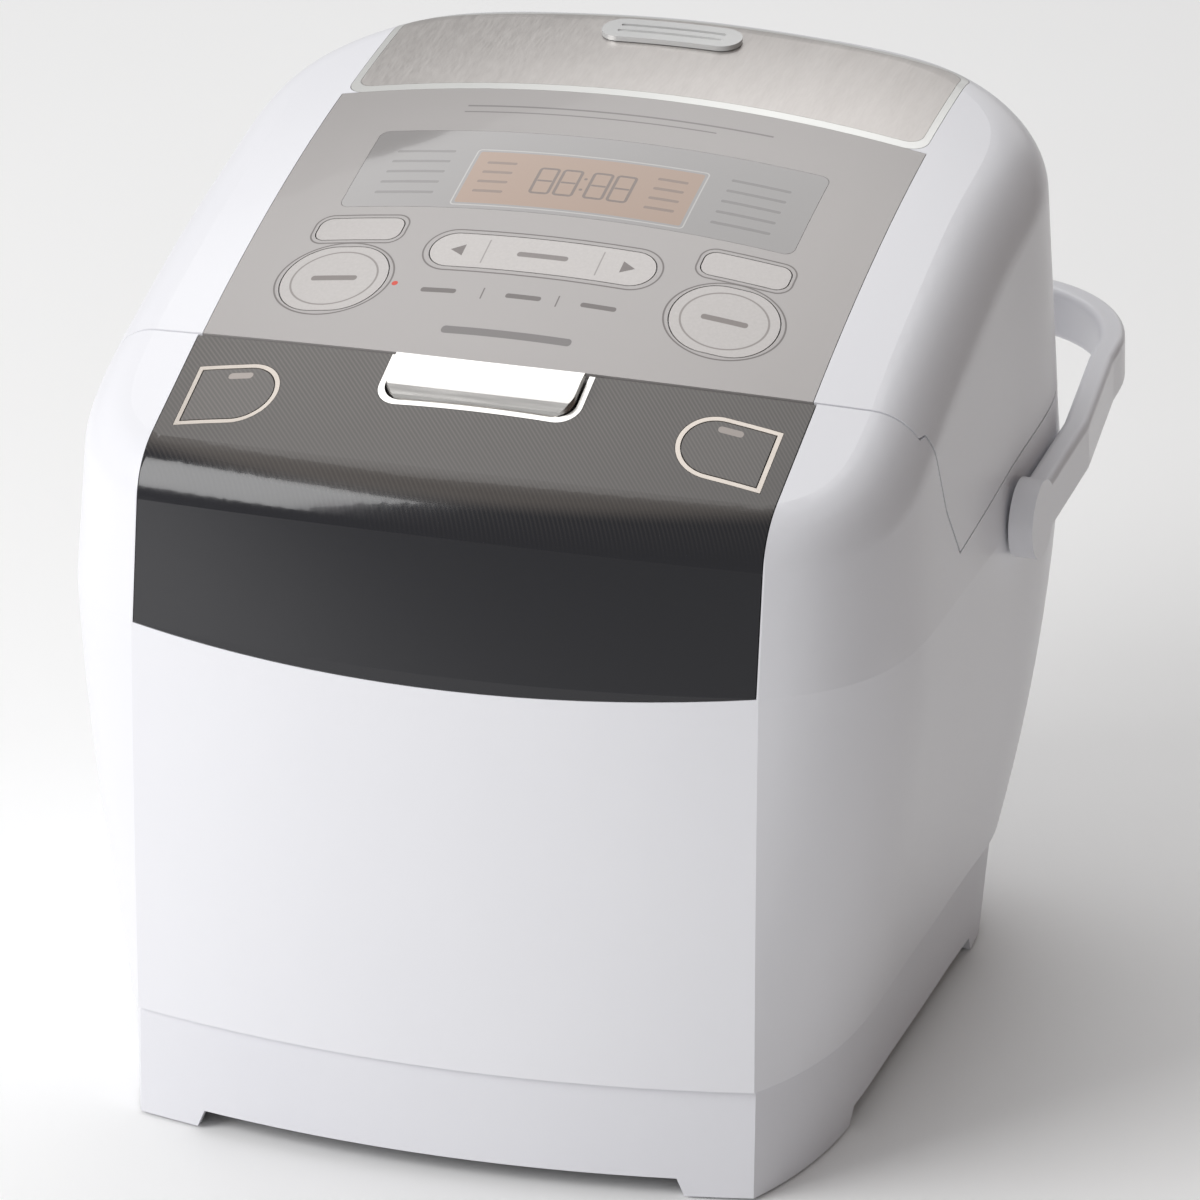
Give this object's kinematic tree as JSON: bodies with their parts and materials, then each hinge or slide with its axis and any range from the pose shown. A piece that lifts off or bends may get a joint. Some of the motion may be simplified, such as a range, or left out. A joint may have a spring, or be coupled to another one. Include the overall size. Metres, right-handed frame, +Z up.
{
  "type": "rice cooker",
  "caption": "Countertop rice cooker with a hinged sloping lid, lid control panel and display, dark sloping front with touch keys, removable pot and a swinging carry handle",
  "frame": {"origin": "middle of the footprint, on the surface the feet rest on", "axes": "Z up, the control front faces -Y, +X is to the right of someone facing the back, the handle's crossbar is at +Y"},
  "size_m": [0.262, 0.3066, 0.2656],
  "materials": {
    "base_plate": "grey moulding",
    "base_screws": "zinc plated",
    "base_skirt": "satin white moulding",
    "body_hinge_leaf": "pressed steel",
    "body_hinge_screws": "zinc plated",
    "body_shell": "satin white moulding",
    "calorie_key": "dark gloss",
    "coil_carrier": "heat resistant moulding",
    "control_panel": "silver grey printed film",
    "cook_key": "silver key",
    "cord_gland": "soft rubber",
    "display_module": "display",
    "display_window": "tinted clear window",
    "fan_frame": "black moulding",
    "fan_rotor": "black moulding",
    "ferrite_bars": "sintered ferrite",
    "front_key_rings": "satin silver",
    "front_panel": "gloss black with a fine hatch",
    "front_switch_boards": "printed circuit board",
    "handle": "satin white moulding",
    "handle_pivots": "grey nylon",
    "heat_sink": "extruded",
    "heater_cup": "dark moulding",
    "hinge_pin": "turned",
    "induction_coil": "enamelled copper winding",
    "inner_lid": "pressed",
    "inner_lid_magnets": "plated",
    "inner_pot": "coated aluminium",
    "keep_warm_key": "silver key",
    "latch_bezel": "satin chrome",
    "latch_bracket": "grey moulding",
    "latch_button": "satin chrome",
    "latch_hook": "grey nylon",
    "latch_pin": "turned",
    "latch_spring_seats": "grey moulding",
    "latch_springs": "spring wire",
    "lid_board": "printed circuit board",
    "lid_board_posts": "grey moulding",
    "lid_catch": "grey moulding",
    "lid_gasket": "silicone",
    "lid_hinge_leaf": "pressed steel",
    "lid_hinge_screws": "zinc plated",
    "lid_liner": "grey moulding",
    "lid_shell": "satin white moulding",
    "load_cells": "machined",
    "menu_key": "silver key",
    "plate_trim": "light strip",
    "pot_sensor": "spun cap",
    "power_board": "printed circuit board",
    "rice_key": "silver key",
    "rubber_feet": "matt rubber",
    "select_key": "silver key",
    "sensor_holder": "grey moulding",
    "sensor_spring": "spring wire",
    "steam_cap": "silver moulding",
    "steam_duct": "moulding",
    "steel_plate": "brushed front to back",
    "upper_frame": "dark grey moulding",
    "weigh_key": "dark gloss",
    "weighing_frame": "cast"
  },
  "bodies": {
    "body": {"base_plate": "base_plate", "base_screws": "base_screws", "base_skirt": "base_skirt", "body_hinge_leaf": "body_hinge_leaf", "body_hinge_screws": "body_hinge_screws", "body_shell": "body_shell", "coil_carrier": "coil_carrier", "cord_gland": "cord_gland", "fan_frame": "fan_frame", "ferrite_bars": "ferrite_bars", "front_key_rings": "front_key_rings", "front_panel": "front_panel", "front_switch_boards": "front_switch_boards", "handle_pivots": "handle_pivots", "heat_sink": "heat_sink", "heater_cup": "heater_cup", "hinge_pin": "hinge_pin", "induction_coil": "induction_coil", "latch_bezel": "latch_bezel", "latch_bracket": "latch_bracket", "latch_pin": "latch_pin", "latch_spring_seats": "latch_spring_seats", "latch_springs": "latch_springs", "load_cells": "load_cells", "power_board": "power_board", "rubber_feet": "rubber_feet", "sensor_holder": "sensor_holder", "sensor_spring": "sensor_spring", "upper_frame": "upper_frame", "weighing_frame": "weighing_frame"},
    "lid": {"lid_shell": "lid_shell", "control_panel": "control_panel", "display_window": "display_window", "display_module": "display_module", "lid_board": "lid_board", "lid_board_posts": "lid_board_posts", "plate_trim": "plate_trim", "steel_plate": "steel_plate", "steam_duct": "steam_duct", "lid_liner": "lid_liner", "inner_lid": "inner_lid", "lid_gasket": "lid_gasket", "inner_lid_magnets": "inner_lid_magnets", "lid_catch": "lid_catch", "lid_hinge_leaf": "lid_hinge_leaf", "lid_hinge_screws": "lid_hinge_screws"},
    "handle": {"handle": "handle"},
    "inner_pot": {"inner_pot": "inner_pot"},
    "fan_rotor": {"fan_rotor": "fan_rotor"},
    "pot_sensor": {"pot_sensor": "pot_sensor"},
    "latch_button": {"latch_button": "latch_button"},
    "latch_hook": {"latch_hook": "latch_hook"},
    "weigh_key": {"weigh_key": "weigh_key"},
    "calorie_key": {"calorie_key": "calorie_key"},
    "menu_key": {"menu_key": "menu_key"},
    "rice_key": {"rice_key": "rice_key"},
    "keep_warm_key": {"keep_warm_key": "keep_warm_key"},
    "cook_key": {"cook_key": "cook_key"},
    "select_key": {"select_key": "select_key"},
    "steam_cap": {"steam_cap": "steam_cap"}
  },
  "joints": [
    {"name": "lid_hinge", "type": "hinge", "parent": "body", "child": "lid", "pos_m": [0, 0.109, 0.1765], "axis": [-1, 0, 0], "range_deg": [0, 80]},
    {"name": "handle_swing", "type": "hinge", "parent": "body", "child": "handle", "pos_m": [0, 0.0055, 0.152], "axis": [1, 0, 0], "range_deg": [0, 92]},
    {"name": "latch_press", "type": "slide", "parent": "body", "child": "latch_button", "axis": [0, 0, -1], "range_m": [0, 0.0015], "stiffness_N_per_m": 900, "springref_m": -0.0008, "deforming": ["latch_springs"]},
    {"name": "hook_turn", "type": "hinge", "parent": "body", "child": "latch_hook", "pos_m": [0, -0.0995, 0.177], "axis": [1, 0, 0], "range_deg": [0, 8.2]},
    {"name": "weigh_press", "type": "slide", "parent": "body", "child": "weigh_key", "axis": [0, 0.387, -0.9221], "range_m": [0, 0.0005], "stiffness_N_per_m": 800, "springref_m": -0.0003},
    {"name": "calorie_press", "type": "slide", "parent": "body", "child": "calorie_key", "axis": [0, 0.387, -0.9221], "range_m": [0, 0.0005], "stiffness_N_per_m": 800, "springref_m": -0.0003},
    {"name": "menu_press", "type": "slide", "parent": "lid", "child": "menu_key", "axis": [0, 0.3249, -0.9457], "range_m": [0, 0.0005], "stiffness_N_per_m": 800, "springref_m": -0.0003},
    {"name": "rice_press", "type": "slide", "parent": "lid", "child": "rice_key", "axis": [0, 0.3249, -0.9457], "range_m": [0, 0.0005], "stiffness_N_per_m": 800, "springref_m": -0.0003},
    {"name": "keep_warm_press", "type": "slide", "parent": "lid", "child": "keep_warm_key", "axis": [0, 0.3249, -0.9457], "range_m": [0, 0.0005], "stiffness_N_per_m": 800, "springref_m": -0.0003},
    {"name": "cook_press", "type": "slide", "parent": "lid", "child": "cook_key", "axis": [0, 0.3249, -0.9457], "range_m": [0, 0.0005], "stiffness_N_per_m": 800, "springref_m": -0.0003},
    {"name": "select_press", "type": "slide", "parent": "lid", "child": "select_key", "axis": [0, 0.3249, -0.9457], "range_m": [0, 0.0005], "stiffness_N_per_m": 800, "springref_m": -0.0003},
    {"name": "pot_turn", "type": "hinge", "parent": "body", "child": "inner_pot", "pos_m": [0, -0.002, 0.1], "axis": [0, 0, 1], "continuous": true},
    {"name": "sensor_press", "type": "slide", "parent": "body", "child": "pot_sensor", "axis": [0, 0, -1], "range_m": [0, 0.0025], "stiffness_N_per_m": 400, "springref_m": -0.002, "deforming": ["sensor_spring"]},
    {"name": "fan_spin", "type": "hinge", "parent": "body", "child": "fan_rotor", "pos_m": [-0.052, 0.0515, 0.015], "axis": [0, 0, 1], "continuous": true},
    {"name": "steam_cap_lift", "type": "slide", "parent": "lid", "child": "steam_cap", "axis": [0, 0, 1], "range_m": [0, 0.025]}
  ],
  "couplings": [
    {"joint": "hook_turn", "follows": "latch_press", "rad_per_m": 93.08}
  ]
}
